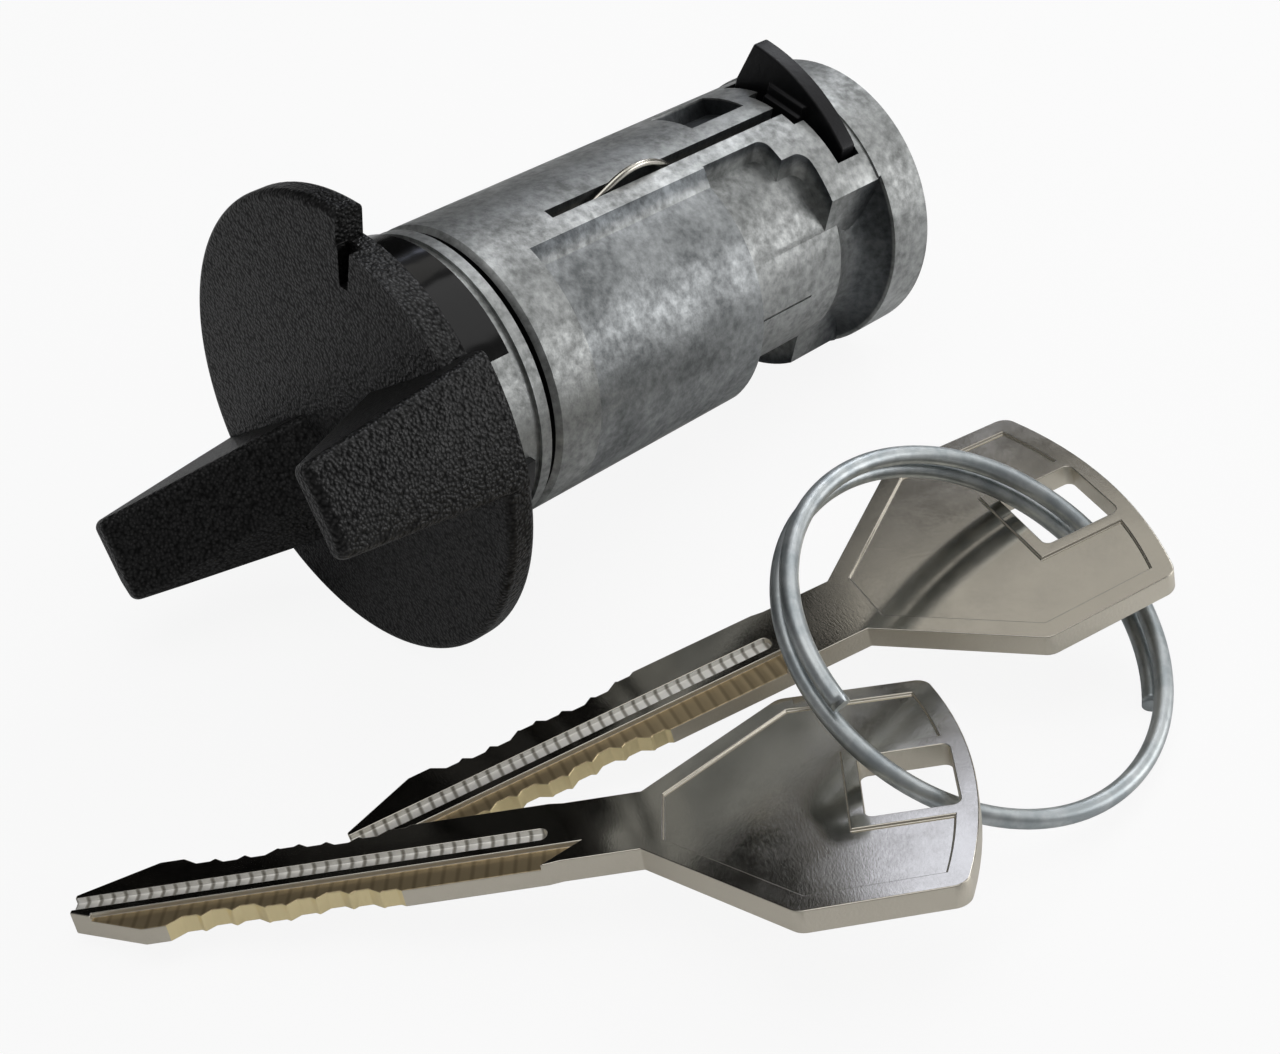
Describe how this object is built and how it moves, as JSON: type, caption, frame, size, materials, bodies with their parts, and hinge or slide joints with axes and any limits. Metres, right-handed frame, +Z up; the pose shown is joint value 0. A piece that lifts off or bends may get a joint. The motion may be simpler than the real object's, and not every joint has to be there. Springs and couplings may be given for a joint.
{
  "type": "ignition lock cylinder with keys",
  "caption": "Ignition lock cylinder with a winged black knob, sprung retaining tab, wafers inside and a set of flat keys on a wire ring.",
  "frame": {"origin": "on the lock axis at the front rim of the case", "axes": "+Y along the lock axis from the knob to the tang, +Z up, +X to the right when seen from the knob"},
  "size_m": [0.0936, 0.1107, 0.0498],
  "materials": {
    "zinc": "zinc casting, dull and mottled",
    "knob_plastic": "black with a fine grain, smooth skirt",
    "black_steel": "blackened",
    "spring_steel": "drawn wire",
    "wafer_brass": "stamped",
    "key_nickel": "nickelled, brass where it is cut",
    "ring_wire": "galvanised wire"
  },
  "bodies": {
    "housing": {"case_housing": "zinc"},
    "retaining_tab": {"retaining_tab": "black_steel", "retainer_spring": "spring_steel"},
    "plug": {"plug": "zinc", "knob": "knob_plastic", "retaining_clip": "spring_steel"},
    "wafer_1": {"wafer_1": "wafer_brass", "wafer_spring_1": "spring_steel"},
    "wafer_2": {"wafer_2": "wafer_brass", "wafer_spring_2": "spring_steel"},
    "wafer_3": {"wafer_3": "wafer_brass", "wafer_spring_3": "spring_steel"},
    "wafer_4": {"wafer_4": "wafer_brass", "wafer_spring_4": "spring_steel"},
    "wafer_5": {"wafer_5": "wafer_brass", "wafer_spring_5": "spring_steel"},
    "wafer_6": {"wafer_6": "wafer_brass", "wafer_spring_6": "spring_steel"},
    "wafer_7": {"wafer_7": "wafer_brass", "wafer_spring_7": "spring_steel"},
    "wafer_8": {"wafer_8": "wafer_brass", "wafer_spring_8": "spring_steel"},
    "key_ring": {"key_ring": "ring_wire"},
    "near_key": {"near_key": "key_nickel"},
    "far_key": {"far_key": "key_nickel"}
  },
  "joints": [
    {"name": "plug_turn", "type": "hinge", "parent": "housing", "child": "plug", "pos_m": [0, 0, 0], "axis": [0, 1, 0], "range_deg": [0, 115]},
    {"name": "tab_press", "type": "slide", "parent": "housing", "child": "retaining_tab", "axis": [-0.2079, 0, -0.9781], "range_m": [0, 0.0044], "stiffness_N_per_m": 200, "springref_m": -0.003, "deforming": ["retainer_spring"]},
    {"name": "wafer_1_slide", "type": "slide", "parent": "plug", "child": "wafer_1", "axis": [-0.829, 0, -0.5592], "range_m": [0, 0.0008], "stiffness_N_per_m": 60, "springref_m": -0.001, "deforming": ["wafer_spring_1"]},
    {"name": "wafer_2_slide", "type": "slide", "parent": "plug", "child": "wafer_2", "axis": [0.829, 0, 0.5592], "range_m": [0, 0.0008], "stiffness_N_per_m": 60, "springref_m": -0.001, "deforming": ["wafer_spring_2"]},
    {"name": "wafer_3_slide", "type": "slide", "parent": "plug", "child": "wafer_3", "axis": [-0.829, 0, -0.5592], "range_m": [0, 0.0008], "stiffness_N_per_m": 60, "springref_m": -0.001, "deforming": ["wafer_spring_3"]},
    {"name": "wafer_4_slide", "type": "slide", "parent": "plug", "child": "wafer_4", "axis": [0.829, 0, 0.5592], "range_m": [0, 0.0008], "stiffness_N_per_m": 60, "springref_m": -0.001, "deforming": ["wafer_spring_4"]},
    {"name": "wafer_5_slide", "type": "slide", "parent": "plug", "child": "wafer_5", "axis": [-0.829, 0, -0.5592], "range_m": [0, 0.0008], "stiffness_N_per_m": 60, "springref_m": -0.001, "deforming": ["wafer_spring_5"]},
    {"name": "wafer_6_slide", "type": "slide", "parent": "plug", "child": "wafer_6", "axis": [0.829, 0, 0.5592], "range_m": [0, 0.0008], "stiffness_N_per_m": 60, "springref_m": -0.001, "deforming": ["wafer_spring_6"]},
    {"name": "wafer_7_slide", "type": "slide", "parent": "plug", "child": "wafer_7", "axis": [-0.829, 0, -0.5592], "range_m": [0, 0.0008], "stiffness_N_per_m": 60, "springref_m": -0.001, "deforming": ["wafer_spring_7"]},
    {"name": "wafer_8_slide", "type": "slide", "parent": "plug", "child": "wafer_8", "axis": [0.829, 0, 0.5592], "range_m": [0, 0.0008], "stiffness_N_per_m": 60, "springref_m": -0.001, "deforming": ["wafer_spring_8"]},
    {"name": "ring_lift", "type": "slide", "parent": "housing", "child": "key_ring", "axis": [0.5, -0.1047, 0.8597], "range_m": [0, 0.06]},
    {"name": "near_key_swing", "type": "hinge", "parent": "key_ring", "child": "near_key", "pos_m": [0.05934, -0.0019, -0.01263], "axis": [-0.8149, -0.4353, 0.3828], "range_deg": [0, 16]},
    {"name": "far_key_swing", "type": "hinge", "parent": "key_ring", "child": "far_key", "pos_m": [0.0476, 0.03187, -0.00807], "axis": [-0.8597, -0.2577, 0.441], "range_deg": [0, 4]}
  ],
  "couplings": [
    {"joint": "far_key_swing", "follows": "near_key_swing", "ratio": 0.25}
  ]
}
